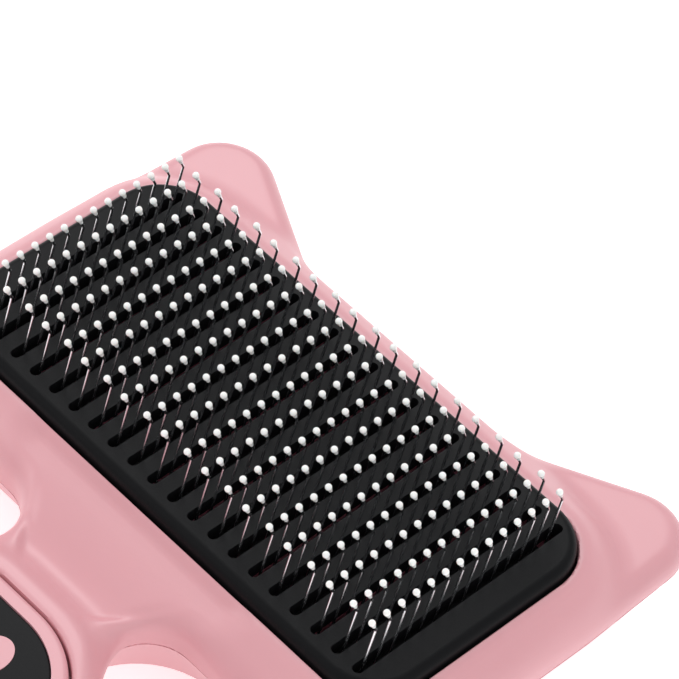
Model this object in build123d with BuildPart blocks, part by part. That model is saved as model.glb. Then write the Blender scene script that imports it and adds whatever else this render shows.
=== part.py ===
from build123d import *
import os
from math import cos, radians, sin, tan

# Self-cleaning slicker brush: a wide head with cat ears, a slotted face plate, bent
# wire pins on a sliding carrier, and a thumb button that pulls the pins back through
# the plate by way of a lever. Millimetres. The brush lies on its back: +X is across
# the head, +Y runs from the handle to the ears and +Z is the bristle side. The origin
# is the centre of the flat rest face under the head.

# ---- driving dimensions -------------------------------------------------------------

# face plate and its slots
slot_pitch = 4.0
slot_count = 20
slot_length = 38.6
slot_width = 1.6
plate_side_margin = 5.0
plate_end_margin = 2.5
plate_corner = 8.5
plate_height = 4.5
plate_bar_height = 2.4
plate_edge_radius = 1.4
plate_gap = 0.35

# housing
brush_height = 24.0
frame_top = 22.3
neck_top = 18.5
hub_top = 20.0
handle_top = 20.0
parting_height = 14.0
back_taper = 27.0
shell_wall = 2.2
face_wall = 2.5
floor_wall = 2.0
ledge_height = 1.0
head_rim_radius = 6.0
head_cavity_radius = 3.0
neck_rim_radius = 3.8
neck_room = 1.0
handle_rim_radius = 5.0
back_wall = 1.6

# head outline
head_width = 100.0
head_bottom = 29.3
head_top = 28.7
head_corner = 13.0
ear_foot_x = 20.1
ear_side_x = 48.8
ear_slope = 28.0
ear_kink_y = 14.5
ear_tip_radius = 8.0
ear_foot_radius = 14.0

# neck and handle outline
neck_width = 22.6
neck_notch_radius = 7.0
neck_hub_radius = 5.0
handle_width = 30.0
handle_belly_width = 33.0
handle_belly_y = -114.0
handle_end_y = -145.0
handle_end_radius = 14.5
handle_belly_radius = 90.0
hub_handle_radius = 14.0

# scooped ramp between the head and the hub
ramp_start_y = -26.9
ramp_end_y = -41.0
ramp_drop = 4.6
ramp_wide = 30.0
ramp_narrow = 7.0
ramp_cut = 6.0
ramp_draft = 40.0

# thumb button
button_y = -60.0
button_width = 37.2
button_length = 34.4
button_corner = 15.0
button_gap = 0.4
button_top = 20.5
button_wall = 2.6
button_travel = 4.0
collar_wall = 2.4
hub_shoulder = 1.2
hub_rim_radius = 1.6
hub_cavity_wall = 1.2
flange_reach = 0.7
flange_height = 1.0
ring_width = 2.3
inlay_height = 1.2
inlay_recess = 0.2
guide_post_radius = 2.0
guide_post_share = 0.295
guide_post_foot = 7.0
guide_clearance = 0.08
guide_tube_wall = 1.4

# paw print: one pad and four toes, each (x, y from the button centre, width, length)
paw_pad = (0.0, -3.6, 12.0, 9.4)
paw_toes = [(-4.6, 7.6, 5.4, 7.2), (4.6, 7.6, 5.4, 7.2), (-10.2, 2.0, 4.6, 6.4), (10.2, 2.0, 4.6, 6.4)]
paw_fit = 0.05

# wire pins
pin_rows = 14
pin_row_pitch = 2.66
pin_middle_y = 0.15
wire_radius = 0.2
leg_spacing = 3.8
leg_stagger = 0.15
leg_lean = 10.5
tip_lean = 24.5
knee_height = 6.3
tip_height = 8.6
knee_bend = 0.5
foot_bend = 0.45
tip_radius = 0.5
tip_neck_length = 1.25

# pin carrier
carrier_gap = 0.5
carrier_corner = 2.5
carrier_height = 2.9
rib_depth = 4.0
rib_height = 1.1
rib_width = 1.2
rib_steps = [-7, -4, -1, 1, 4, 7]
pad_height = 0.6
pad_gap = 0.1
groove_width = 4.6
retainer_height = 1.5
retainer_screw_steps = [-6, 0, 6]
retainer_screw_y = 9.0
tongue_width = 7.0
tongue_height = 1.3
tongue_root = 4.5
tongue_block = 3.3
tongue_drop = 1.3

# lever
lever_pivot_y = -88.0
lever_width = 5.0
lever_height = 2.8
lever_boss_radius = 3.1
lever_pin_radius = 1.5
lever_pin_length = 12.0
lever_pin_clearance = 0.05
lever_step_y = -26.6
lever_riser = 2.2
lever_tip_width = 6.6
lever_tip_height = 2.1
button_rib = 2.0
touch_gap = 0.3
ear_plate_width = 3.0
ear_plate_length = 6.6

# springs
spring_wire_radius = 0.3
spring_radius = 3.0
spring_turns = 6
spring_step = 8
spring_y = 11.0
spring_peg_radius = 2.2
spring_peg_height = 2.2

# screws
screw_shank_radius = 1.3
screw_clearance = 0.2
screw_head_radius = 2.6
screw_head_height = 1.7
screw_boss_radius = 3.4
screw_recess = 3.2
screw_thread_length = 3.6
ear_screw_x = 37.8
ear_screw_y = 25.0
handle_screw_low_y = -118.0
handle_screw_high_y = -99.0
small_screw_radius = 0.75
small_head_radius = 1.35
small_head_height = 0.9
plate_screw_y = 11.0
plate_screw_depth = 2.8
cross_width = 0.6
cross_depth = 0.7

# grips and hanging hole
grip_width = 19.0
grip_top_y = -88.0
grip_bottom_y = -123.0
grip_height = 1.3
grip_proud = 0.4
grip_corner = 8.0
back_grip_width = 11.0
back_grip_corner = 4.5
hang_hole_y = -131.0
hang_hole_radius = 4.0
hang_tube_wall = 1.8

# ---- sizes worked out from them ------------------------------------------------------

slot_span = (slot_count - 1) * slot_pitch
slot_field_width = slot_span + slot_width
plate_width = slot_field_width + 2 * plate_side_margin
plate_length = slot_length + 2 * plate_end_margin
plate_bottom = brush_height - plate_height
bar_bottom = brush_height - plate_bar_height
ledge_bottom = plate_bottom - ledge_height
window_width = slot_field_width + 2.4
window_length = slot_length + 1.8
window_corner = 3.0

rib_places = [step * slot_pitch for step in rib_steps]
retainer_screw_x = [step * slot_pitch for step in retainer_screw_steps]
spring_x = spring_step * slot_pitch
rib_top = brush_height - rib_depth
carrier_top = rib_top - rib_height
carrier_bottom = carrier_top - carrier_height
carrier_width = window_width - 2 * carrier_gap
carrier_length = window_length - 2 * carrier_gap
retainer_bottom = carrier_bottom - retainer_height
bridge_z = carrier_bottom + wire_radius
groove_height = 2 * wire_radius
tongue_top = retainer_bottom - tongue_drop
tongue_bottom = tongue_top - tongue_height

tongue_end_y = lever_step_y + lever_riser + 2 * touch_gap
lever_end_y = -carrier_length / 2 - 2 * touch_gap
lever_tip_y = (tongue_end_y + lever_end_y) / 2
lever_ratio = (lever_tip_y - lever_pivot_y) / (button_y - lever_pivot_y)
carrier_travel = button_travel * lever_ratio
tip_bottom = tongue_top + touch_gap
lever_bottom = floor_wall + touch_gap + (lever_step_y - lever_pivot_y) * button_travel / (
    button_y - lever_pivot_y
)
lever_top = lever_bottom + lever_height
lever_axis_z = lever_bottom + lever_height / 2
neck_cavity_top = lever_top + neck_room
passage_width = lever_width + 2 * neck_room
passage_end_y = 2 * shell_wall - head_bottom

ear_tip_y = head_top + (ear_side_x - ear_foot_x) * tan(radians(ear_slope))
hub_wall_width = button_width + 2 * (button_gap + collar_wall)
hub_wall_length = button_length + 2 * (button_gap + collar_wall)
hub_wall_corner = button_corner + button_gap + collar_wall
collar_bottom = hub_top - face_wall
flange_top = collar_bottom - touch_gap
flange_bottom = flange_top - flange_height
guide_post_x = button_width * guide_post_share
guide_tube_top = flange_bottom - button_travel - touch_gap
inlay_top = button_top - inlay_recess
inlay_bottom = inlay_top - inlay_height


# ---- helpers -------------------------------------------------------------------------


def mirrored(half):
    """Close a right-hand run of (x, y, radius) corners with its left-hand twin."""
    left = [(-x, y, radius) for x, y, radius in reversed(half) if x > 0]
    corners = half + left
    return [(x, y) for x, y, _ in corners], [radius for _, _, radius in corners]


def outline_face(half):
    """A face inside a closed outline that is rounded at each corner."""
    points, radii = mirrored(half)
    with BuildSketch() as outline:
        with BuildLine():
            FilletPolyline(*points, radius=radii, close=True)
        make_face()
    return outline.sketch


def inset(face, amount):
    """The same face, drawn in by an amount."""
    with BuildSketch() as smaller:
        add(face)
        offset(amount=-amount, mode=Mode.REPLACE)
    return smaller.sketch


def side_of_button(face, side):
    """What a face has on the head's side (1) or the handle's side (-1) of the button."""
    reach = 4 * head_width
    with BuildSketch() as kept:
        add(face)
        with Locations((0, button_y + side * reach / 2)):
            Rectangle(reach, reach, mode=Mode.INTERSECT)
    return kept.sketch


def block(face, bottom, top, rim=0.0, from_top=True):
    """A face stood up between two heights, with one rim rounded but for any edge where
    the housing is split at the button's middle."""
    with BuildPart() as stood:
        with BuildSketch(Plane.XY.offset(bottom)):
            add(face)
        extrude(amount=top - bottom)
        if rim > 0:
            side = stood.faces().sort_by(Axis.Z)[-1 if from_top else 0]
            fillet([e for e in side.edges() if abs(e.center().Y - button_y) > 0.01], rim)
    return stood.part


def dish(face, bottom, top):
    """A face carried down from its rim, narrowing like the back of the brush."""
    with BuildPart() as bowl:
        with BuildSketch(Plane.XY.offset(top)):
            add(face)
        extrude(amount=bottom - top, taper=back_taper)
    return bowl.part


def oval(width, length, corner):
    """The button's rounded outline."""
    with BuildSketch() as shape:
        with Locations((0, button_y)):
            RectangleRounded(width, length, corner)
    return shape.sketch


def screw(shank_radius, length, head_radius, head_height):
    """A cross-head screw that points up from z = 0, its head below."""
    with BuildPart() as body:
        with BuildSketch():
            Circle(shank_radius)
        extrude(amount=length)
        with BuildSketch():
            Circle(head_radius)
        extrude(amount=-head_height)
        fillet(body.faces().sort_by(Axis.Z)[0].edges(), head_height / 3)
        with BuildSketch(Plane.XY.offset(-head_height)):
            Rectangle(head_radius, cross_width)
            Rectangle(cross_width, head_radius)
        extrude(amount=cross_depth, mode=Mode.SUBTRACT)
    return body.part


def save(part, name):
    """Label a finished piece and write it."""
    part.label = name
    export_step(part, f"parts/{name}.step")


os.makedirs("parts", exist_ok=True)

# ---- outlines ------------------------------------------------------------------------

head_half = [
    (ear_foot_x, head_top, ear_foot_radius),
    (ear_side_x, ear_tip_y, ear_tip_radius),
    (head_width / 2, ear_kink_y, head_corner),
    (head_width / 2, -head_bottom, head_corner),
]
handle_half = [
    (neck_width / 2, -head_bottom, neck_notch_radius),
    (neck_width / 2, button_y, 1.0),
    (handle_width / 2, button_y, 1.0),
    (handle_belly_width / 2, handle_belly_y, handle_belly_radius),
    (handle_width / 2, handle_end_y, handle_end_radius),
]
head_face = outline_face(head_half)

with BuildSketch() as body_outline:
    add(outline_face(head_half + handle_half))
    add(oval(hub_wall_width + 2 * hub_shoulder, hub_wall_length + 2 * hub_shoulder,
             hub_wall_corner + hub_shoulder))
    hub_reach = hub_wall_length / 2 + hub_shoulder
    corners = body_outline.vertices()
    neck_corners = corners.filter_by_position(Axis.Y, button_y + hub_reach / 2, button_y + hub_reach)
    fillet([v for v in neck_corners if abs(abs(v.X) - neck_width / 2) < 0.01], neck_hub_radius)
    corners = body_outline.vertices()
    handle_corners = corners.filter_by_position(Axis.Y, button_y - hub_reach, button_y - hub_reach / 3)
    fillet([v for v in handle_corners if abs(v.X) < handle_belly_width / 2], hub_handle_radius)

with BuildSketch() as whole_outline:
    add(body_outline.sketch)
    with Locations((-head_width, 0)):
        Rectangle(2 * head_width, 4 * head_width, mode=Mode.SUBTRACT)
    mirror(about=Plane.YZ)
body_face = body_outline.sketch
cavity_face = inset(whole_outline.sketch, back_wall)

neck_face = side_of_button(body_face, 1)
handle_face = side_of_button(body_face, -1)

button_face = oval(button_width, button_length, button_corner)
opening_face = oval(button_width + 2 * button_gap, button_length + 2 * button_gap,
                    button_corner + button_gap)
collar_face = oval(hub_wall_width, hub_wall_length, hub_wall_corner)

ear_screws = [(-ear_screw_x, ear_screw_y), (ear_screw_x, ear_screw_y)]
handle_screws = [(0, handle_screw_low_y), (0, handle_screw_high_y)]
housing_screw_places = ear_screws + handle_screws

grip_length = grip_top_y - grip_bottom_y
grip_middle_y = (grip_top_y + grip_bottom_y) / 2
print("outlines ready")

# ---- front frame: the bristle-side shell --------------------------------------------

ramp_run = ramp_start_y - ramp_end_y
ramp_plane = Plane(
    origin=(0, ramp_start_y, frame_top - 1.2), x_dir=(1, 0, 0), z_dir=(0, -ramp_drop, ramp_run)
)

with BuildPart() as front_frame:
    add(block(neck_face, parting_height, neck_top, neck_rim_radius))
    add(block(head_face, parting_height, frame_top, head_rim_radius))
    with BuildSketch(ramp_plane):
        with BuildLine():
            Polyline(
                (-ramp_wide / 2, 0), (ramp_wide / 2, 0),
                (ramp_narrow / 2, -ramp_run), (-ramp_narrow / 2, -ramp_run), close=True,
            )
        make_face()
    extrude(amount=ramp_cut, taper=-ramp_draft, mode=Mode.SUBTRACT)
    add(block(collar_face, parting_height, hub_top, hub_rim_radius))
    add(block(handle_face, parting_height, handle_top, handle_rim_radius))
    # hollow inside
    with BuildSketch(Plane.XY.offset(parting_height)):
        with Locations((0, (passage_end_y + button_y) / 2)):
            Rectangle(passage_width, passage_end_y - button_y)
    extrude(amount=neck_cavity_top - parting_height, mode=Mode.SUBTRACT)
    add(block(inset(head_face, shell_wall), parting_height, ledge_bottom,
              head_cavity_radius), mode=Mode.SUBTRACT)
    add(block(inset(collar_face, hub_cavity_wall), parting_height, collar_bottom),
        mode=Mode.SUBTRACT)
    add(block(inset(handle_face, shell_wall), parting_height, handle_top - face_wall),
        mode=Mode.SUBTRACT)
    # screw bosses and the hanging tube
    with BuildSketch(Plane.XY.offset(parting_height)):
        with Locations(housing_screw_places):
            Circle(screw_boss_radius)
        with Locations((0, hang_hole_y)):
            Circle(hang_hole_radius + hang_tube_wall)
    extrude(amount=ledge_bottom - parting_height)
    with BuildSketch(Plane.XY.offset(parting_height)):
        with Locations(housing_screw_places):
            Circle(screw_shank_radius)
    extrude(amount=screw_thread_length, mode=Mode.SUBTRACT)
    with BuildSketch(Plane.XY.offset(parting_height)):
        with Locations((0, hang_hole_y)):
            Circle(hang_hole_radius)
    extrude(amount=brush_height - parting_height, mode=Mode.SUBTRACT)
    # button opening
    add(block(opening_face, parting_height, brush_height), mode=Mode.SUBTRACT)
    # window under the face plate, its ledge and the plate screws
    with BuildSketch(Plane.XY.offset(parting_height)):
        RectangleRounded(window_width, window_length, window_corner)
    extrude(amount=brush_height - parting_height, mode=Mode.SUBTRACT)
    with BuildSketch(Plane.XY.offset(plate_bottom)):
        RectangleRounded(plate_width + 2 * plate_gap, plate_length + 2 * plate_gap,
                         plate_corner + plate_gap)
    extrude(amount=plate_height, mode=Mode.SUBTRACT)
    plate_screw_x = slot_field_width / 2 + plate_side_margin * 0.5
    plate_screw_places = [(sx * plate_screw_x, sy * plate_screw_y) for sx in (-1, 1) for sy in (-1, 1)]
    with BuildSketch(Plane.XY.offset(ledge_bottom)):
        with Locations(plate_screw_places):
            Circle(small_screw_radius + screw_clearance)
    extrude(amount=plate_bottom - ledge_bottom, mode=Mode.SUBTRACT)
    # recess for the thumb-side grip
    with BuildSketch(Plane.XY.offset(handle_top - grip_height)):
        with Locations((0, grip_middle_y)):
            RectangleRounded(grip_width, grip_length, grip_corner)
    extrude(amount=grip_height, mode=Mode.SUBTRACT)
save(front_frame.part, "front_frame")
print("front_frame", len(front_frame.part.solids()))

# ---- back shell ----------------------------------------------------------------------

ear_plate_x = lever_width / 2 + touch_gap + ear_plate_width / 2
with BuildPart() as back_shell:
    add(dish(body_face, 0, parting_height))
    add(dish(cavity_face, floor_wall, parting_height), mode=Mode.SUBTRACT)
    with BuildSketch():
        with Locations(housing_screw_places):
            Circle(screw_boss_radius)
        with Locations((0, hang_hole_y)):
            Circle(hang_hole_radius + hang_tube_wall)
    extrude(amount=parting_height)
    # ears that hold the lever pin
    with BuildSketch(Plane.XY.offset(floor_wall / 2)):
        with Locations((-ear_plate_x, lever_pivot_y), (ear_plate_x, lever_pivot_y)):
            Rectangle(ear_plate_width, ear_plate_length)
    extrude(amount=lever_axis_z + ear_plate_length / 2 - floor_wall / 2)
    with BuildSketch(Plane.YZ.offset(-lever_pin_length / 2)):
        with Locations((lever_pivot_y, lever_axis_z)):
            Circle(lever_pin_radius)
    extrude(amount=lever_pin_length, mode=Mode.SUBTRACT)
    # guide tubes for the button's posts and pegs for the springs
    with BuildSketch(Plane.XY.offset(floor_wall / 2)):
        with Locations((-guide_post_x, button_y), (guide_post_x, button_y)):
            Circle(guide_post_radius + guide_clearance + guide_tube_wall)
    extrude(amount=guide_tube_top - floor_wall / 2)
    with BuildSketch(Plane.XY.offset(floor_wall)):
        with Locations((-guide_post_x, button_y), (guide_post_x, button_y)):
            Circle(guide_post_radius + guide_clearance)
    extrude(amount=parting_height, mode=Mode.SUBTRACT)
    with BuildSketch(Plane.XY.offset(floor_wall / 2)):
        with GridLocations(2 * spring_x, 2 * spring_y, 2, 2):
            Circle(spring_peg_radius)
    extrude(amount=floor_wall / 2 + spring_peg_height)
    # screw holes with sunk heads, hanging hole and grip recess
    with BuildSketch():
        with Locations(housing_screw_places):
            Circle(screw_shank_radius + screw_clearance)
        with Locations((0, hang_hole_y)):
            Circle(hang_hole_radius)
    extrude(amount=parting_height, mode=Mode.SUBTRACT)
    with BuildSketch():
        with Locations(housing_screw_places):
            Circle(screw_head_radius + screw_clearance)
    extrude(amount=screw_recess, mode=Mode.SUBTRACT)
    with BuildSketch():
        with Locations((0, grip_middle_y)):
            RectangleRounded(back_grip_width, grip_length, back_grip_corner)
    extrude(amount=grip_height, mode=Mode.SUBTRACT)
save(back_shell.part, "back_shell")
print("back_shell", len(back_shell.part.solids()))

# ---- slotted face plate --------------------------------------------------------------

with BuildPart() as slotted_plate:
    with BuildSketch(Plane.XY.offset(plate_bottom)):
        RectangleRounded(plate_width, plate_length, plate_corner)
    extrude(amount=plate_height)
    fillet(slotted_plate.faces().sort_by(Axis.Z)[-1].edges(), plate_edge_radius)
    with BuildSketch(Plane.XY.offset(plate_bottom)):
        RectangleRounded(window_width - 0.8, window_length - 0.8, window_corner)
    extrude(amount=plate_height - plate_bar_height, mode=Mode.SUBTRACT)
    with BuildSketch(Plane.XY.offset(bar_bottom)):
        with GridLocations(slot_pitch, 0, slot_count, 1):
            SlotOverall(slot_length, slot_width, rotation=90)
    extrude(amount=plate_bar_height, mode=Mode.SUBTRACT)
    with BuildSketch(Plane.XY.offset(plate_bottom)):
        with Locations(plate_screw_places):
            Circle(small_screw_radius)
    extrude(amount=plate_screw_depth, mode=Mode.SUBTRACT)
save(slotted_plate.part, "slotted_plate")
print("slotted_plate", len(slotted_plate.part.solids()))

# ---- pin carrier, its pads and the staple retainer ------------------------------------

staple_count = slot_count // 2
staple_places = [(index - (staple_count - 1) / 2) * 2 * slot_pitch for index in range(staple_count)]
retainer_screw_places = [(x, side * retainer_screw_y) for x in retainer_screw_x for side in (-1, 1)]

with BuildPart() as pin_carrier:
    with BuildSketch(Plane.XY.offset(carrier_bottom)):
        RectangleRounded(carrier_width, carrier_length, carrier_corner)
    extrude(amount=carrier_height)
    with BuildSketch(Plane.XY.offset(carrier_top)):
        with Locations([(x, 0) for x in rib_places]):
            Rectangle(rib_width, carrier_length)
    extrude(amount=rib_height)
    with BuildSketch(Plane.XY.offset(carrier_bottom)):
        with Locations([(x, 0) for x in staple_places]):
            Rectangle(groove_width, carrier_length - 2)
    extrude(amount=groove_height, mode=Mode.SUBTRACT)
    with BuildSketch(Plane.XY.offset(carrier_bottom)):
        with Locations(retainer_screw_places):
            Circle(small_screw_radius)
    extrude(amount=carrier_height * 0.7, mode=Mode.SUBTRACT)
save(pin_carrier.part, "pin_carrier")

pad_edges = [-carrier_width / 2 - rib_width / 2] + rib_places + [carrier_width / 2 + rib_width / 2]
with BuildPart() as carrier_pads:
    with BuildSketch(Plane.XY.offset(carrier_top)):
        for left, right in zip(pad_edges[:-1], pad_edges[1:]):
            with Locations(((left + right) / 2, 0)):
                Rectangle(right - left - rib_width - 2 * pad_gap, carrier_length - 2 * carrier_corner)
    extrude(amount=pad_height)
save(carrier_pads.part, "carrier_pads")

with BuildPart() as staple_retainer:
    with BuildSketch(Plane.XY.offset(retainer_bottom)):
        RectangleRounded(carrier_width, carrier_length, carrier_corner)
    extrude(amount=retainer_height)
    tongue_root_y = tongue_root - carrier_length / 2
    with BuildSketch(Plane.XY.offset(tongue_bottom)):
        with Locations((0, (tongue_end_y + tongue_root_y) / 2)):
            Rectangle(tongue_width, tongue_root_y - tongue_end_y)
    extrude(amount=tongue_height)
    with BuildSketch(Plane.XY.offset(tongue_bottom)):
        with Locations((0, tongue_root_y - tongue_block / 2)):
            Rectangle(tongue_width, tongue_block)
    extrude(amount=retainer_bottom - tongue_bottom)
    with BuildSketch(Plane.XY.offset(retainer_bottom)):
        with Locations(retainer_screw_places):
            Circle(small_screw_radius + screw_clearance)
    extrude(amount=retainer_height, mode=Mode.SUBTRACT)
save(staple_retainer.part, "staple_retainer")
print("carrier pieces", len(staple_retainer.part.solids()))

# ---- bent wire staples and their ball tips --------------------------------------------

knee_z = brush_height + knee_height
ball_z = brush_height + tip_height
tip_shift = (ball_z - knee_z) * tan(radians(tip_lean))
leg_shift = (knee_z - bridge_z) * tan(radians(leg_lean))


def leg_points(x, ball_y):
    """Foot, knee and ball centre of one wire leg."""
    knee_y = ball_y + tip_shift
    return [(x, knee_y - leg_shift, bridge_z), (x, knee_y, knee_z), (x, ball_y, ball_z)]


with BuildPart() as staple:
    left_leg = leg_points(-leg_spacing / 2, leg_stagger)
    right_leg = leg_points(leg_spacing / 2, -leg_stagger)
    with BuildLine() as wire_path:
        FilletPolyline(*reversed(left_leg), *right_leg,
                       radius=[knee_bend, foot_bend, foot_bend, knee_bend])
    with BuildSketch(Plane(origin=wire_path.line @ 0, z_dir=wire_path.line % 0)):
        Circle(wire_radius)
    sweep()

with BuildPart() as ball_tip:
    with BuildSketch(Plane.XZ):
        with BuildLine():
            shoulder = (tip_radius * 0.8, -tip_radius * 0.6)
            RadiusArc((0, tip_radius), shoulder, tip_radius)
            Line(shoulder, (wire_radius + 0.08, -tip_neck_length))
            Line((wire_radius + 0.08, -tip_neck_length), (wire_radius, -tip_neck_length))
            Line((wire_radius, -tip_neck_length), (wire_radius, 0))
            Line((wire_radius, 0), (0, 0))
            Line((0, 0), (0, tip_radius))
        make_face()
    revolve(axis=Axis.Z)

row_places = [
    pin_middle_y + (index - (pin_rows - 1) / 2) * pin_row_pitch for index in range(pin_rows)
]
for number, staple_x in enumerate(staple_places, start=1):
    with BuildPart() as staple_row:
        with Locations([(staple_x, y, 0) for y in row_places]):
            add(staple.part)
    save(staple_row.part, f"pin_staples_{number:02d}")
    with BuildPart() as tip_row:
        with Locations([
            Location((staple_x + side * leg_spacing / 2, y - side * leg_stagger, ball_z), (tip_lean, 0, 0))
            for y in row_places for side in (-1, 1)
        ]):
            add(ball_tip.part)
    save(tip_row.part, f"pin_tips_{number:02d}")
print("staples", len(staple_row.part.solids()), len(tip_row.part.solids()))

# ---- button cap with raised paw print, and its inlay ----------------------------------


def paw_shapes(clearance):
    """The pad and toes of the print, grown by a clearance."""
    with BuildSketch() as paw:
        for x, y, width, length in [paw_pad] + paw_toes:
            with Locations((x, button_y + y)):
                Ellipse(width / 2 + clearance, length / 2 + clearance)
    return paw.sketch


with BuildPart() as button_cap:
    add(block(button_face, flange_bottom, button_top, 0.9))
    add(block(oval(button_width + 2 * (button_gap + flange_reach),
                   button_length + 2 * (button_gap + flange_reach),
                   button_corner + button_gap + flange_reach), flange_bottom, flange_top))
    add(block(inset(button_face, button_wall), flange_bottom, inlay_bottom - button_wall),
        mode=Mode.SUBTRACT)
    add(block(inset(button_face, ring_width), inlay_bottom, button_top), mode=Mode.SUBTRACT)
    add(block(paw_shapes(0), inlay_bottom, button_top - inlay_recess / 2))
    with BuildSketch(Plane.XY.offset(guide_post_foot)):
        with Locations((-guide_post_x, button_y), (guide_post_x, button_y)):
            Circle(guide_post_radius)
    extrude(amount=inlay_bottom - guide_post_foot)
    with BuildSketch(Plane.XY.offset(lever_top + touch_gap)):
        with Locations((0, button_y)):
            Rectangle(lever_width, button_rib)
    extrude(amount=inlay_bottom - lever_top - touch_gap)
    # notch in the skirt that the lever lies in when the button is down
    with BuildSketch(Plane.XY.offset(flange_bottom)):
        with Locations((0, button_y - button_length / 2)):
            Rectangle(lever_width + 2 * touch_gap, 2 * (button_wall + flange_reach))
    extrude(amount=flange_height + touch_gap, mode=Mode.SUBTRACT)
save(button_cap.part, "button_cap")

with BuildPart() as button_inlay:
    add(block(inset(button_face, ring_width + paw_fit), inlay_bottom, inlay_top, 0.3))
    add(block(paw_shapes(paw_fit), inlay_bottom, button_top), mode=Mode.SUBTRACT)
save(button_inlay.part, "button_inlay")
print("button", len(button_cap.part.solids()), len(button_inlay.part.solids()))

# ---- lever and its pin ----------------------------------------------------------------

with BuildPart() as lever:
    with BuildSketch(Plane.XY.offset(lever_bottom)):
        with Locations((0, (lever_pivot_y + lever_step_y) / 2)):
            Rectangle(lever_width, lever_step_y - lever_pivot_y)
    extrude(amount=lever_height)
    with BuildSketch(Plane.XY.offset(lever_bottom)):
        with Locations((0, lever_step_y + lever_riser / 2)):
            Rectangle(lever_width, lever_riser)
    extrude(amount=tip_bottom + lever_tip_height - lever_bottom)
    with BuildSketch(Plane.XY.offset(tip_bottom)):
        with Locations((0, (lever_step_y + lever_end_y) / 2)):
            Rectangle(lever_width, lever_end_y - lever_step_y)
        with Locations((0, lever_tip_y)):
            Rectangle(lever_tip_width, lever_end_y - tongue_end_y)
    extrude(amount=lever_tip_height)
    with BuildSketch(Plane.YZ.offset(-lever_width / 2)):
        with Locations((lever_pivot_y, lever_axis_z)):
            Circle(lever_boss_radius)
    extrude(amount=lever_width)
    with BuildSketch(Plane.YZ.offset(-lever_width / 2)):
        with Locations((lever_pivot_y, lever_axis_z)):
            Circle(lever_pin_radius + lever_pin_clearance)
    extrude(amount=lever_width, mode=Mode.SUBTRACT)
save(lever.part, "lever")

with BuildPart() as lever_pin:
    with BuildSketch(Plane.YZ.offset(-lever_pin_length / 2)):
        with Locations((lever_pivot_y, lever_axis_z)):
            Circle(lever_pin_radius)
    extrude(amount=lever_pin_length)
    chamfer(lever_pin.faces().filter_by(Axis.X).edges(), 0.3)
save(lever_pin.part, "lever_pin")

# ---- return springs -------------------------------------------------------------------

spring_height = retainer_bottom - floor_wall - 2 * spring_wire_radius
with BuildPart() as spring:
    with BuildLine() as coil:
        Helix(spring_height / spring_turns, spring_height, spring_radius)
    with BuildSketch(Plane(origin=coil.line @ 0, z_dir=coil.line % 0)):
        Circle(spring_wire_radius)
    sweep(is_frenet=True)

with BuildPart() as return_springs:
    with Locations([
        (sx * spring_x, sy * spring_y, floor_wall + spring_wire_radius)
        for sx in (-1, 1) for sy in (-1, 1)
    ]):
        add(spring.part)
save(return_springs.part, "return_springs")

# ---- grips ----------------------------------------------------------------------------


def grip_face(width, corner):
    """The outline of a soft insert, a little smaller than its recess."""
    with BuildSketch() as pad:
        with Locations((0, grip_middle_y)):
            RectangleRounded(width - 2 * paw_fit, grip_length - 2 * paw_fit, corner)
    return pad.sketch


save(block(grip_face(grip_width, grip_corner), handle_top - grip_height, handle_top + grip_proud,
           grip_proud), "thumb_grip")
save(block(grip_face(back_grip_width, back_grip_corner), 0, grip_height, grip_proud, from_top=False),
     "back_grip")

# ---- screws ---------------------------------------------------------------------------

housing_screw = screw(screw_shank_radius, parting_height - screw_recess + screw_thread_length,
                      screw_head_radius, screw_head_height)
with BuildPart() as housing_screws:
    with Locations([(x, y, screw_recess) for x, y in housing_screw_places]):
        add(housing_screw)
save(housing_screws.part, "housing_screws")

plate_screw = screw(small_screw_radius, plate_bottom - ledge_bottom + plate_screw_depth,
                    small_head_radius, small_head_height)
with BuildPart() as plate_screws:
    with Locations([(x, y, ledge_bottom) for x, y in plate_screw_places]):
        add(plate_screw)
save(plate_screws.part, "plate_screws")

retainer_screw = screw(small_screw_radius, retainer_height + carrier_height * 0.7,
                       small_head_radius, small_head_height)
with BuildPart() as retainer_screws:
    with Locations([(x, y, retainer_bottom) for x, y in retainer_screw_places]):
        add(retainer_screw)
save(retainer_screws.part, "retainer_screws")

print(f"lever ratio {lever_ratio:.4f}, carrier travel {carrier_travel:.3f}")
print(f"lever axis z {lever_axis_z:.3f}, lever bottom {lever_bottom:.3f}, tip {tip_bottom:.3f}")
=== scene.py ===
import math

import bpy
import numpy as np
from mathutils import Matrix, Vector


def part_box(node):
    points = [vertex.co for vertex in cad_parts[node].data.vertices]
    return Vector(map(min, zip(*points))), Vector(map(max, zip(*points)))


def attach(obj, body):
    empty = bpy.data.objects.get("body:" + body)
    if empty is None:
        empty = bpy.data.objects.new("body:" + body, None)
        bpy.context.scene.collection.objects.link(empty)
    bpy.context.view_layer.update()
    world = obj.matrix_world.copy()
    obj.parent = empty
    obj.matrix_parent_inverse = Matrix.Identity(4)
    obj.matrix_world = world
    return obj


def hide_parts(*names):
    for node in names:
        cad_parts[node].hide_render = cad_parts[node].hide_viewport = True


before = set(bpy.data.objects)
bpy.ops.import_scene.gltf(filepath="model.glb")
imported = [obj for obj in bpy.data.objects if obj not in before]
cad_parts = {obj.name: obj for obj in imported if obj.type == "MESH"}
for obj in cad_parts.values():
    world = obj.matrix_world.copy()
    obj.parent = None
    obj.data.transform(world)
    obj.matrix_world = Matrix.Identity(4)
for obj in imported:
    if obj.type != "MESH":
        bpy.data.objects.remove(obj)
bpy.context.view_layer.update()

# The looks of the slicker brush. Shapes are worked out in millimetres in the CAD's own
# axes and turned into metres when a mesh is made.
MM = 0.001


def node_box(name):
    """A CAD node's lowest and highest corners, in millimetres."""
    low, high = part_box(name)
    return np.array(low) / MM, np.array(high) / MM


# ---- sizes ---------------------------------------------------------------------------

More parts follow.
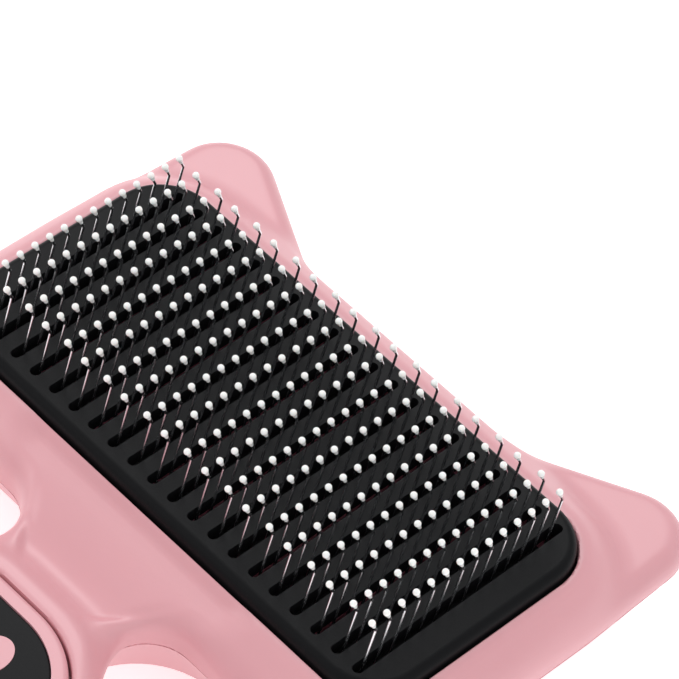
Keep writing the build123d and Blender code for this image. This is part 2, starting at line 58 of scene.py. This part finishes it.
plate_low, plate_high = node_box("slotted_plate")
plate_half = (plate_high[:2] - plate_low[:2]) / 2
PLATE_CORNER = 8.5
PLATE_GAP = 0.35
shell_low, shell_high = node_box("front_frame")
PARTING = shell_low[2]
FRAME_TOP = shell_high[2]

HEAD_HALF = shell_high[0]
HEAD_BOTTOM = -29.3
HEAD_TOP = 28.7
HEAD_CORNER = 13.0
EAR_FOOT_X = 20.1
EAR_SIDE_X = 48.8
EAR_SLOPE = math.radians(28)
EAR_KINK_Y = 14.5
EAR_TIP_RADIUS = 8.0
EAR_FOOT_RADIUS = 14.0
NECK_HALF = 11.3
NECK_NOTCH_RADIUS = 7.0

inlay_low, inlay_high = node_box("button_inlay")
BUTTON_Y = (inlay_low[1] + inlay_high[1]) / 2
BUTTON_HALF = (18.6, 17.2)
BUTTON_CORNER = 15.0
BUTTON_GAP = 0.4
COLLAR_WALL = 2.4
HUB_SHOULDER = 1.2
HUB_TOP = 20.0
HANDLE_TOP = 20.0
LOW = -20.0
WALL = 2.2
JOIN_RADIUS = 1.0
HANDLE_HALF = 15.0
HANDLE_END_RADIUS = 14.5
BELLY_HALF = 16.5
BELLY_Y = -114.0
BELLY_RADIUS = 90.0
HANG_HOLE_Y = -131.0
HANG_HOLE_RADIUS = 4.0
grip_low, grip_high = node_box("thumb_grip")


# ---- distance fields -----------------------------------------------------------------


def rounded_corners(points, radii, steps=14):
    """A closed outline with each corner replaced by an arc."""
    out = []
    count = len(points)
    for i in range(count):
        corner = np.array(points[i], float)
        before = np.array(points[i - 1], float) - corner
        after = np.array(points[(i + 1) % count], float) - corner
        before /= np.linalg.norm(before)
        after /= np.linalg.norm(after)
        half = math.acos(np.clip(before @ after, -1, 1)) / 2
        if half > math.pi / 2 - 1e-3:
            out.append(corner)
            continue
        reach = radii[i] / math.tan(half)
        bisector = (before + after) / np.linalg.norm(before + after)
        centre = corner + bisector * radii[i] / math.sin(half)
        start, end = corner + before * reach - centre, corner + after * reach - centre
        a0, a1 = math.atan2(start[1], start[0]), math.atan2(end[1], end[0])
        sweep = (a1 - a0 + math.pi) % (2 * math.pi) - math.pi
        for t in np.linspace(0, 1, steps):
            angle = a0 + sweep * t
            out.append(centre + radii[i] * np.array((math.cos(angle), math.sin(angle))))
    return np.array(out)


def outline_distance(x, y, outline):
    """Signed distance to a closed outline, negative inside."""
    best = np.full(x.shape, 1e9)
    inside = np.zeros(x.shape, bool)
    for a, b in zip(outline, np.roll(outline, -1, axis=0)):
        ex, ey = b - a
        wx, wy = x - a[0], y - a[1]
        t = np.clip((wx * ex + wy * ey) / (ex * ex + ey * ey + 1e-12), 0, 1)
        best = np.minimum(best, (wx - ex * t) ** 2 + (wy - ey * t) ** 2)
        crosses = (a[1] > y) != (b[1] > y)
        with np.errstate(divide="ignore", invalid="ignore"):
            inside ^= crosses & (x < ex * (y - a[1]) / (ey if ey else 1e-12) + a[0])
    return np.where(inside, -1, 1) * np.sqrt(best)


def oval_distance(x, y, centre_y, half_x, half_y, corner):
    """Signed distance to a rounded rectangle centred on the middle line."""
    qx = np.abs(x) - half_x + corner
    qy = np.abs(y - centre_y) - half_y + corner
    outside = np.hypot(np.maximum(qx, 0), np.maximum(qy, 0))
    return outside + np.minimum(np.maximum(qx, qy), 0) - corner


def soft_max(a, b, width):
    """The larger of two values, blended smoothly where they are close."""
    h = np.clip(0.5 + 0.5 * (a - b) / width, 0, 1)
    return b + (a - b) * h + width * h * (1 - h)


def soft_min(a, b, width):
    return -soft_max(-a, -b, width)


def round_max(a, b, radius):
    """The overlap of two fields, with the edge between them rounded."""
    u, v = a + radius, b + radius
    return np.minimum(np.maximum(u, v), 0) + np.hypot(np.maximum(u, 0), np.maximum(v, 0)) - radius


def softplus(value, width):
    """value where it is positive, fading smoothly to 0."""
    return soft_max(value, np.zeros_like(value), width)


# ---- the front shell's plan and its height --------------------------------------------

ear_tip_y = HEAD_TOP + (EAR_SIDE_X - EAR_FOOT_X) * math.tan(EAR_SLOPE)
right_side = [
    (EAR_FOOT_X, HEAD_TOP, EAR_FOOT_RADIUS),
    (EAR_SIDE_X, ear_tip_y, EAR_TIP_RADIUS),
    (HEAD_HALF, EAR_KINK_Y, HEAD_CORNER),
    (HEAD_HALF, HEAD_BOTTOM, HEAD_CORNER),
    (NECK_HALF, HEAD_BOTTOM, NECK_NOTCH_RADIUS),
    (NECK_HALF, BUTTON_Y, JOIN_RADIUS),
    (HANDLE_HALF, BUTTON_Y, JOIN_RADIUS),
    (BELLY_HALF, BELLY_Y, BELLY_RADIUS),
    (HANDLE_HALF, shell_low[1], HANDLE_END_RADIUS),
]
left_side = [(-x, y, r) for x, y, r in reversed(right_side)]
corners = right_side + left_side
body_outline = rounded_corners([c[:2] for c in corners], [c[2] for c in corners])

MAP_STEP = 0.4
MAP_MARGIN = 3.0
map_x = np.arange(shell_low[0] - MAP_MARGIN, shell_high[0] + MAP_MARGIN + MAP_STEP, MAP_STEP)
map_y = np.arange(shell_low[1] - MAP_MARGIN, shell_high[1] + MAP_MARGIN + MAP_STEP, MAP_STEP)
X, Y = np.meshgrid(map_x, map_y, indexing="ij")

main_distance = outline_distance(X, Y, body_outline)
hub_distance = oval_distance(
    X, Y, BUTTON_Y, BUTTON_HALF[0] + BUTTON_GAP + COLLAR_WALL + HUB_SHOULDER,
    BUTTON_HALF[1] + BUTTON_GAP + COLLAR_WALL + HUB_SHOULDER,
    BUTTON_CORNER + BUTTON_GAP + COLLAR_WALL + HUB_SHOULDER,
)
HUB_BLEND = 7.0
body_distance = soft_min(main_distance, hub_distance, HUB_BLEND)
opening_distance = oval_distance(
    X, Y, BUTTON_Y, BUTTON_HALF[0] + BUTTON_GAP, BUTTON_HALF[1] + BUTTON_GAP, BUTTON_CORNER + BUTTON_GAP
)
plate_distance = oval_distance(
    X, Y, 0, plate_half[0] + PLATE_GAP, plate_half[1] + PLATE_GAP, PLATE_CORNER + PLATE_GAP
)


def smooth_step(value, start, end):
    """0 before start, 1 after end and an even curve between them."""
    t = np.clip((value - start) / (end - start), 0, 1)
    return t * t * (3 - 2 * t)


BEAD_DROP = 0.05
BEAD_FALL = 0.72
BEAD_EASE = 0.44
EAR_LEVEL = 17.7
EAR_FALL = 0.42
VALLEY_PLACE = 5.6
VALLEY_WIDTH = 1.7
CREASE_Y = -26.9
CREASE_LEVEL = 21.0
SCOOP_FALL = 0.46
SCOOP_LEVEL = 17.3
FLANK_RISE = 0.85
CREST_LEVEL = 20.4
CREST_FALL = 0.17
COLLAR_BAND = 2.7
COLLAR_FALL = 0.9
HANDLE_CROWN = 0.006
HANDLE_FALL = 0.35
HANDLE_TURN_Y = -74.0
SCOOP_RUN = 14.1
SCOOP_WIDE = 15.0
SCOOP_NARROW = 3.5
VALLEY_DEPTH = 0.6


def front_height():
    """Height of the front shell's face over its plan."""
    # a bead round the face plate that slopes away to the rim, less steep above the neck
    side = np.abs(X)
    by_neck = smooth_step(-side, -30.0, -14.0) * smooth_step(-Y, 5.0, 18.0)
    fall = BEAD_FALL - BEAD_EASE * by_neck
    bead = FRAME_TOP - BEAD_DROP - fall * softplus(plate_distance - 1.2, 1.2)
    # the ears are flat wings that the bead dies into, with a soft valley between
    ears = EAR_LEVEL - EAR_FALL * softplus(8.0 - Y, 5.0)
    by_ear = smooth_step(side, 24.0, 40.0) * smooth_step(Y, 2.0, 16.0)
    valley = VALLEY_DEPTH * by_ear * np.exp(-(((plate_distance - VALLEY_PLACE) / VALLEY_WIDTH) ** 2))
    head = soft_max(bead, ears, 1.0) - valley
    # the neck: a scooped floor that narrows towards the hub, between two shoulders
    along = CREASE_Y - Y
    half_width = SCOOP_WIDE - (SCOOP_WIDE - SCOOP_NARROW) * np.clip(along / SCOOP_RUN, -0.3, 1.0)
    floor = soft_max(CREASE_LEVEL - SCOOP_FALL * along, np.full_like(along, SCOOP_LEVEL), 1.5)
    flank = floor + FLANK_RISE * softplus(side - half_width, 0.5)
    crest = CREST_LEVEL - CREST_FALL * along
    neck = soft_min(flank, crest, 0.9)
    cut = soft_min(head, neck, 0.45)
    in_neck = smooth_step(-side, -24.0, -18.0) * smooth_step(-Y, 22.0, 24.0)
    head = head * (1 - in_neck) + cut * in_neck
    head = np.where(Y > BUTTON_Y, head, LOW)
    # collar round the button
    collar = HUB_TOP - COLLAR_FALL * softplus(opening_distance - COLLAR_BAND, 1.0)
    # handle, crowned across
    handle = HANDLE_TOP - HANDLE_CROWN * X**2 - HANDLE_FALL * softplus(Y - HANDLE_TURN_Y, 6.0)
    handle = np.where(Y < BUTTON_Y, handle, LOW)
    return soft_max(head, soft_max(collar, handle, 2.0), 2.6)


height_map = front_height()
PLAN_MAPS = (body_distance, height_map, opening_distance, plate_distance)


def look_up(table, x, y):
    """A value of a plan map at any place, by bilinear interpolation."""
    u = np.clip((x - map_x[0]) / MAP_STEP, 0, len(map_x) - 1.001)
    v = np.clip((y - map_y[0]) / MAP_STEP, 0, len(map_y) - 1.001)
    i, j = u.astype(int), v.astype(int)
    fu, fv = u - i, v - j
    return (
        table[i, j] * (1 - fu) * (1 - fv) + table[i + 1, j] * fu * (1 - fv)
        + table[i, j + 1] * (1 - fu) * fv + table[i + 1, j + 1] * fu * fv
    )


RIM_RADIUS = 3.0
EDGE_RADIUS = 0.45
LIP_RADIUS = 0.35
LEDGE_Z = plate_low[2]
window_half = (40.0, 20.2)
WINDOW_CORNER = 3.0
TUBE_WALL = 1.8
grip_half = (grip_high[0], (grip_high[1] - grip_low[1]) / 2)
grip_middle = (grip_low[1] + grip_high[1]) / 2
GRIP_CORNER = 8.0
GRIP_FLOOR = grip_low[2]


def front_field(x, y, z, plan=None):
    """Signed distance to the front shell, negative in its plastic."""
    if plan is None:
        plan = [look_up(m, x, y) for m in PLAN_MAPS]
    body, height, opening, plate = plan
    outer = round_max(body, z - height, RIM_RADIUS)
    outer = np.maximum(outer, PARTING - z)
    outer = round_max(outer, -np.maximum(plate, LEDGE_Z - z), LIP_RADIUS)
    window = oval_distance(x, y, 0, window_half[0], window_half[1], WINDOW_CORNER)
    outer = soft_max(outer, -window, 0.3)
    outer = round_max(outer, -opening, EDGE_RADIUS)
    cavity = np.maximum(body + WALL, z - (height - WALL))
    outer = np.maximum(outer, -cavity)
    grip = oval_distance(x, y, grip_middle, grip_half[0] + 0.1, grip_half[1] + 0.1, GRIP_CORNER)
    outer = np.maximum(outer, -np.maximum(grip, GRIP_FLOOR - z))
    hole = np.hypot(x, y - HANG_HOLE_Y) - HANG_HOLE_RADIUS
    tube = np.maximum(np.maximum(hole - TUBE_WALL, z - (height - 1.0)), PARTING - z)
    outer = np.minimum(outer, tube)
    outer = soft_max(outer, -hole, 1.0)
    return outer


def surface_net(field, origin, step):
    """A quad mesh of the zero level of a field sampled on a grid."""
    cells = tuple(n - 1 for n in field.shape)
    total = np.zeros(cells + (3,), np.float32)
    count = np.zeros(cells, np.float32)
    inside = field < 0
    for axis in range(3):
        low = [slice(None)] * 3
        high = [slice(None)] * 3
        low[axis], high[axis] = slice(None, -1), slice(1, None)
        a, b = field[tuple(low)], field[tuple(high)]
        change = inside[tuple(low)] != inside[tuple(high)]
        share = np.where(change, a / np.where(change, a - b, 1), 0)
        others = [k for k in range(3) if k != axis]
        for da in (0, 1):
            for db in (0, 1):
                pick = [slice(None)] * 3
                for k, d in zip(others, (da, db)):
                    pick[k] = slice(d, field.shape[k] - 1 + d)
                hit = change[tuple(pick)]
                count += hit
                total[..., axis] += np.where(hit, share[tuple(pick)], 0)
                total[..., others[0]] += hit * da
                total[..., others[1]] += hit * db
    active = count > 0
    index = np.full(cells, -1, np.int64)
    index[active] = np.arange(active.sum())
    place = np.argwhere(active) + total[active] / count[active][:, None]
    verts = origin + place * step
    faces = []
    for axis in range(3):
        low = [slice(None)] * 3
        high = [slice(None)] * 3
        low[axis], high[axis] = slice(None, -1), slice(1, None)
        change = inside[tuple(low)] != inside[tuple(high)]
        b, c = [k for k in range(3) if k != axis]
        at = np.argwhere(change)
        keep = (at[:, b] > 0) & (at[:, c] > 0) & (at[:, b] < cells[b]) & (at[:, c] < cells[c])
        at = at[keep]
        ring = []
        for db, dc in ((1, 1), (0, 1), (0, 0), (1, 0)):
            cell = at.copy()
            cell[:, b] -= db
            cell[:, c] -= dc
            ring.append(index[tuple(cell.T)])
        quad = np.stack(ring, axis=1)
        outward = inside[tuple(low)][tuple(at.T)]
        flip = outward == (axis == 1)
        quad[flip] = quad[flip][:, ::-1]
        faces.append(quad)
    return verts, np.concatenate(faces)


def make_object(name, verts_mm, faces, sharp=None):
    """A mesh object in metres from points in millimetres."""
    mesh = bpy.data.meshes.new(name)
    mesh.from_pydata((np.asarray(verts_mm) * MM).tolist(), [], np.asarray(faces).tolist())
    mesh.validate()
    mesh.shade_smooth()
    if sharp:
        mesh.set_sharp_from_angle(angle=math.radians(sharp))
    piece = bpy.data.objects.new(name, mesh)
    bpy.context.scene.collection.objects.link(piece)
    return piece


NET_STEP = 0.4


def front_shell():
    """The bristle-side shell, with soft blends between the head, neck, hub and handle."""
    gx = np.arange(shell_low[0] - 1.03, shell_high[0] + 1.5, NET_STEP)
    gy = np.arange(shell_low[1] - 1.03, shell_high[1] + 1.5, NET_STEP)
    gz = np.arange(PARTING - 0.77, FRAME_TOP + 1.2, NET_STEP)
    px, py = np.meshgrid(gx, gy, indexing="ij")
    plan = [look_up(m, px, py)[..., None] for m in PLAN_MAPS]
    field = front_field(px[..., None], py[..., None], gz[None, None, :], plan)
    verts, faces = surface_net(field.astype(np.float32), np.array((gx[0], gy[0], gz[0])), NET_STEP)
    for _ in range(3):
        x, y, z = verts.T
        value = front_field(x, y, z)
        e = 0.05
        slope = np.stack([
            front_field(x + e, y, z) - front_field(x - e, y, z),
            front_field(x, y + e, z) - front_field(x, y - e, z),
            front_field(x, y, z + e) - front_field(x, y, z - e),
        ], axis=1) / (2 * e)
        size = np.maximum((slope**2).sum(axis=1), 0.25)
        move = slope * (value / size)[:, None]
        length = np.linalg.norm(move, axis=1, keepdims=True)
        verts = verts - move * np.minimum(1, 0.2 / np.maximum(length, 1e-9)) * 0.8
    return make_object("front_shell", verts, faces, sharp=50)


# ---- materials -----------------------------------------------------------------------


def plastic(name, colour, roughness=0.42, grain=0.02, grain_scale=2200.0, mottle=0.03, coat=0.0,
            subsurface=0.0, metallic=0.0, specular=0.5):
    """Moulded plastic: a base colour that drifts slightly, a fine spark-eroded grain and
    a roughness that is uneven."""
    material = bpy.data.materials.new(name)
    material.use_nodes = True
    nodes, links = material.node_tree.nodes, material.node_tree.links
    shader = nodes["Principled BSDF"]
    coords = nodes.new("ShaderNodeTexCoord")
    broad = nodes.new("ShaderNodeTexNoise")
    broad.inputs["Scale"].default_value = 45.0
    broad.inputs["Detail"].default_value = 3.0
    links.new(coords.outputs["Object"], broad.inputs["Vector"])
    tint = nodes.new("ShaderNodeMix")
    tint.data_type = "RGBA"
    dark = [c * (1 - mottle) for c in colour]
    light = [min(1.0, c * (1 + mottle)) for c in colour]
    tint.inputs["A"].default_value = (*dark, 1)
    tint.inputs["B"].default_value = (*light, 1)
    links.new(broad.outputs["Fac"], tint.inputs["Factor"])
    links.new(tint.outputs["Result"], shader.inputs["Base Color"])
    fine = nodes.new("ShaderNodeTexNoise")
    fine.inputs["Scale"].default_value = grain_scale
    fine.inputs["Detail"].default_value = 2.0
    links.new(coords.outputs["Object"], fine.inputs["Vector"])
    bump = nodes.new("ShaderNodeBump")
    bump.inputs["Strength"].default_value = grain * 10
    bump.inputs["Distance"].default_value = 0.00004
    links.new(fine.outputs["Fac"], bump.inputs["Height"])
    links.new(bump.outputs["Normal"], shader.inputs["Normal"])
    rough = nodes.new("ShaderNodeMapRange")
    rough.inputs["To Min"].default_value = roughness - 0.05
    rough.inputs["To Max"].default_value = roughness + 0.05
    links.new(broad.outputs["Fac"], rough.inputs["Value"])
    links.new(rough.outputs["Result"], shader.inputs["Roughness"])
    shader.inputs["Metallic"].default_value = metallic
    shader.inputs["Coat Weight"].default_value = coat
    shader.inputs["Specular IOR Level"].default_value = specular
    shader.inputs["Subsurface Weight"].default_value = subsurface
    shader.inputs["Subsurface Radius"].default_value = (0.003, 0.0015, 0.0012)
    shader.inputs["Subsurface Scale"].default_value = 0.3
    return material


pink = plastic("pink_abs", (0.70, 0.345, 0.38), roughness=0.40, grain=0.02, subsurface=0.05)
pink_carrier = plastic("pink_carrier", (0.62, 0.20, 0.27), roughness=0.45)
black = plastic("black_abs", (0.006, 0.0062, 0.007), roughness=0.45, grain=0.04, specular=0.09)
black_inlay = plastic("black_inlay", (0.008, 0.008, 0.009), roughness=0.5, grain=0.05, specular=0.12)
black_rubber = plastic(
    "black_rubber", (0.02, 0.02, 0.021), roughness=0.65, grain=0.08, grain_scale=900.0
)
steel = plastic("bright_steel", (0.62, 0.63, 0.65), roughness=0.25, grain=0.01, metallic=1.0)
wire = plastic("steel_wire", (0.72, 0.73, 0.75), roughness=0.22, grain=0.01, metallic=1.0)
resin = plastic("white_resin", (0.95, 0.94, 0.92), roughness=0.22, grain=0.01, coat=0.4, subsurface=0.15)
white = plastic("white_acetal", (0.75, 0.75, 0.73), roughness=0.4)

finish_of = {
    "front_frame": pink, "back_shell": pink, "slotted_plate": black, "plate_screws": steel,
    "housing_screws": steel, "lever_pin": steel, "return_springs": steel, "thumb_grip": black_rubber,
    "back_grip": black_rubber, "button_cap": pink, "button_inlay": black_inlay, "lever": white,
    "pin_carrier": pink_carrier, "carrier_pads": black_rubber, "staple_retainer": black,
    "retainer_screws": steel,
}
for name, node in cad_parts.items():
    if name.startswith("pin_staples"):
        look = wire
    elif name.startswith("pin_tips"):
        look = resin
    else:
        look = finish_of[name]
    node.data.materials.clear()
    node.data.materials.append(look)

shell = front_shell()
shell.data.materials.append(pink)
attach(shell, "housing")
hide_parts("front_frame")

# ---- floor, light and camera ----------------------------------------------------------

floor_mesh = bpy.data.meshes.new("floor")
FLOOR = 3.0
FLOOR_GLOW = 0.5
floor_mesh.from_pydata(
    [(-FLOOR, -FLOOR, 0), (FLOOR, -FLOOR, 0), (FLOOR, FLOOR, 0), (-FLOOR, FLOOR, 0)], [], [(0, 1, 2, 3)]
)
floor = bpy.data.objects.new("floor", floor_mesh)
bpy.context.scene.collection.objects.link(floor)
floor_mesh.materials.append(
    plastic("pale_floor", (0.9, 0.9, 0.9), roughness=0.8, grain=0.0, mottle=0.005)
)
floor_shader = floor_mesh.materials[0].node_tree.nodes["Principled BSDF"]
floor_shader.inputs["Emission Color"].default_value = (1, 1, 1, 1)
floor_shader.inputs["Emission Strength"].default_value = FLOOR_GLOW
floor.location.z = -0.0002

world = bpy.data.worlds.new("studio")
bpy.context.scene.world = world
world.use_nodes = True
world.node_tree.nodes["Background"].inputs["Color"].default_value = (1, 1, 1, 1)
world.node_tree.nodes["Background"].inputs["Strength"].default_value = 0.62


def softbox(name, place, target, size, power):
    """A square area light that points at a place."""
    data = bpy.data.lights.new(name, "AREA")
    data.energy, data.size = power, size
    lamp = bpy.data.objects.new(name, data)
    bpy.context.scene.collection.objects.link(lamp)
    lamp.location = place
    lamp.rotation_euler = (Vector(target) - Vector(place)).to_track_quat("-Z", "Y").to_euler()


softbox("key", (-0.5, 0.5, 0.85), (0, 0, 0), 0.5, 4.3)
softbox("fill", (0.7, -0.2, 0.6), (0, 0, 0), 0.7, 2.0)

softbox("side", (-0.8, -0.35, 0.5), (0, 0, 0), 0.5, 2.1)

camera_data = bpy.data.cameras.new("camera")
camera_data.sensor_width = 36.0
camera_data.lens = 225.7
camera = bpy.data.objects.new("camera", camera_data)
bpy.context.scene.collection.objects.link(camera)
right = Vector((0.68289, 0.72216, 0.11020))
up = Vector((-0.59882, 0.46697, 0.65066))
back = Vector((0.41842, -0.51032, 0.75133))
pose = Matrix((right, up, back)).transposed().to_4x4()
pose.translation = (0.2416, -0.2818, 0.4658)
camera.matrix_world = pose
camera_data.clip_end = 10
bpy.context.scene.camera = camera
bpy.context.scene.view_settings.view_transform = "Standard"
